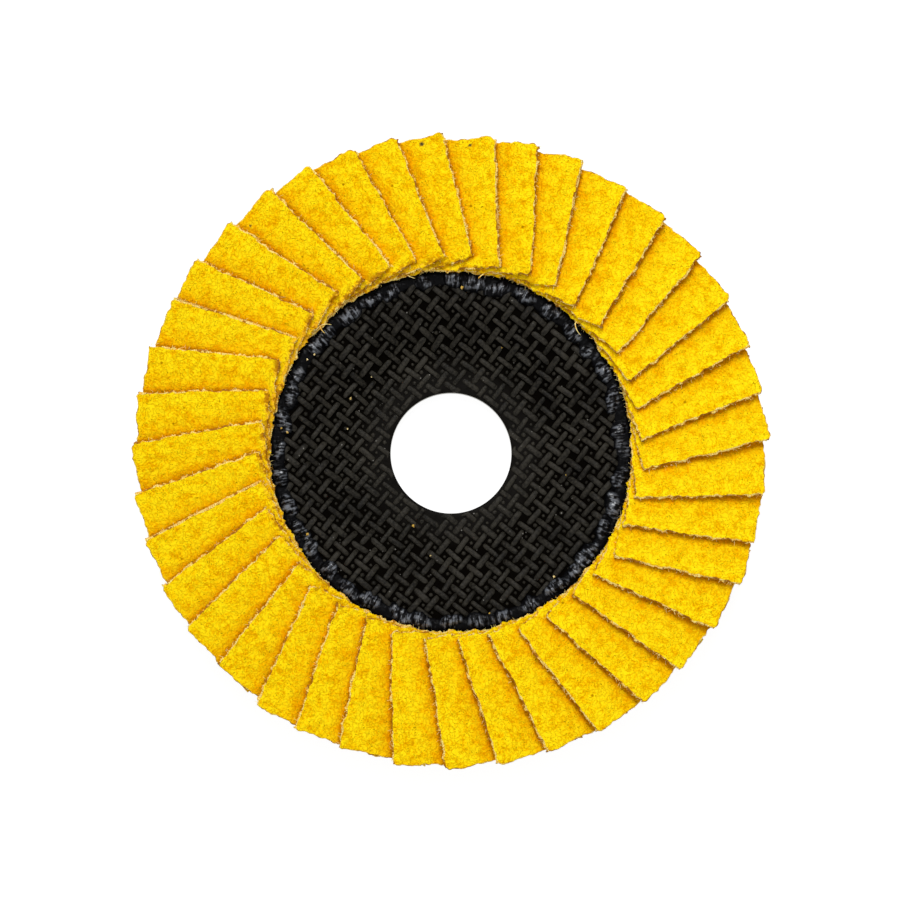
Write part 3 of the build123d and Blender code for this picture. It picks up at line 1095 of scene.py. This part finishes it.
def make_glue():
    """From the bed's outer foot up its wall, in across the bed, over the bead and back underneath."""
    bed_rises = np.array([0, BED_HEIGHT, BED_HEIGHT, BED_HEIGHT, BED_HEIGHT])
    radii = np.concatenate([BED_RADII, BEAD_RADII, UNDER_RADII])
    angle = np.arange(GLUE_ANGLES)[:, None] * 2 * pi / GLUE_ANGLES
    turn = angle * LUMP_CENTRE
    uneven = 0.35 * noise(turn, BEAD_RADII, 1.9, 31)
    aside = (BEAD_RADII - LOW_BEAD_RADIUS - uneven) / LOW_BEAD_HALF_WIDTH
    low = LOW_BEAD_HEIGHT * np.clip(1 - aside**2, 0, 1) ** 0.5
    lumps = lump_height(BEAD_RADII + 0.4 * noise(turn, BEAD_RADII, 0.9, 34), angle)
    folds = 0.26 * np.abs(noise(turn, BEAD_RADII * 0.3, 0.46, 32))
    folds = folds + 0.22 * np.abs(noise(turn, BEAD_RADII, 0.9, 33))
    bead = np.maximum(low, lumps)
    bead = np.where(bead > 0.05, bead + folds * (0.4 + 0.6 * bead), GLUE_FOOT)
    edge = 1 - smooth_step(BEAD_RADII, 32.7, 33.3)
    crown = smooth_step(lumps, 0.35, 1.15) * edge
    bead = bead * edge + (BED_HEIGHT * 0.3) * (1 - edge)
    bed = np.broadcast_to(bed_rises, (len(angle), len(bed_rises)))
    under = np.full((len(angle), len(UNDER_RADII)), GLUE_FOOT)
    rises = np.hstack([bed, bead, under])
    points = np.stack([radii * np.sin(angle), radii * np.cos(angle), RIM_FRONT + rises], axis=-1)
    marks = {
        "crown": np.hstack([0 * bed, crown, 0 * under]),
        "round_the_bead": np.broadcast_to(turn, rises.shape),
        "out_from_axis": np.broadcast_to(radii, rises.shape),
    }
    quads = grid_quads(*rises.shape, close_rows=True, close_columns=True).tolist()
    return make_piece("glue_bed_and_bead", points, quads, glue_black, "glue", ["adhesive_bed"], marks)


glue = make_glue()
added["glue"] = triangles(glue)
print("glue", added["glue"], "triangles")

# %% [markdown]
# ## Stray grit
# A few grains of grit have fallen on the plate and stuck to the glue. Each is an eight-sided stone whose
# six corners are pushed about, so no two are alike.

# %% Grains
GRAIN_PLACES = (  # x and y in millimetres, and size
    (2.0, 29.9, 0.30), (-30.3, 5.0, 0.26), (-30.9, 4.2, 0.22), (-29.8, 3.4, 0.20), (-31.3, 5.9, 0.2),
    (-26.1, -15.1, 0.26), (-6.9, -13.4, 0.27), (-3.8, -18.9, 0.18), (7.0, -29.5, 0.25),
    (-24.9, 17.6, 0.27), (-26.2, 16.7, 0.22), (-18.4, 9.9, 0.24), (28.5, 13.6, 0.18), (18.7, -22.9, 0.24),
    (-19.0, 4.4, 0.15), (-14.6, 13.9, 0.16), (9.3, 19.2, 0.14), (21.0, -4.1, 0.14),
)
GRAIN_DARK, GRAIN_PALE = (0.55, 0.34, 0.05), (0.85, 0.70, 0.35)


def grain_material():
    material, paint = new_material("stray_grit")
    colour = paint.ramp(paint.noise(2.5, detail=0), (0.40, GRAIN_DARK), (0.60, GRAIN_PALE))
    paint.finish(Base_Color=colour, Roughness=0.35)
    return material


def make_grains():
    """Corners on three crossed axes, pushed about, turned at random and set on the strands or the bead."""
    random = np.random.default_rng(12)
    x, y, size = np.array(GRAIN_PLACES).T[..., None]
    radius = np.hypot(x, y)
    corners = np.array([(1, 0, 0), (0, 1, 0), (-1, 0, 0), (0, -1, 0), (0, 0, 1), (0, 0, -1)])
    corners = corners + random.normal(0, 0.22, (len(x), 6, 3))
    spin = random.uniform(0, 2 * pi, x.shape)
    level = PLATE_THICKNESS + dish_rise(radius) + 0.35
    level = np.where(radius > 29.4, level + 0.9, level)
    px = x + size * (corners[..., 0] * np.cos(spin) - corners[..., 1] * np.sin(spin))
    py = y + size * (corners[..., 0] * np.sin(spin) + corners[..., 1] * np.cos(spin))
    pz = level + size * corners[..., 2] * 0.7 + size * 0.3
    faces = np.array([(0, 1, 4), (1, 2, 4), (2, 3, 4), (3, 0, 4), (1, 0, 5), (2, 1, 5), (3, 2, 5), (0, 3, 5)])
    faces = (faces[None] + np.arange(len(x))[:, None, None] * 6).reshape(-1, 3).tolist()
    points = np.stack([px, py, pz], axis=-1)
    return make_piece("stray_grains", points, faces, grit, "abrasive", flat_faces=len(faces))


grit = grain_material()
grains = make_grains()
added["grains"] = triangles(grains)
print("grains", added["grains"], "triangles")

# %% [markdown]
# ## The sizes of the result
# Both boxes, the imported model's and the visual model's, are printed side by side. The visual
# model may not be larger than the imported one.

# %% Sizes
shown_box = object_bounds()
sizes = {"cad": [list(corner) for corner in cad_box], "visual": [list(corner) for corner in shown_box]}
for name, (low, high) in sizes.items():
    print(name, [round((b - a) / MM, 2) for a, b in zip(low, high)], "mm")
print("added triangles", added, sum(added.values()))
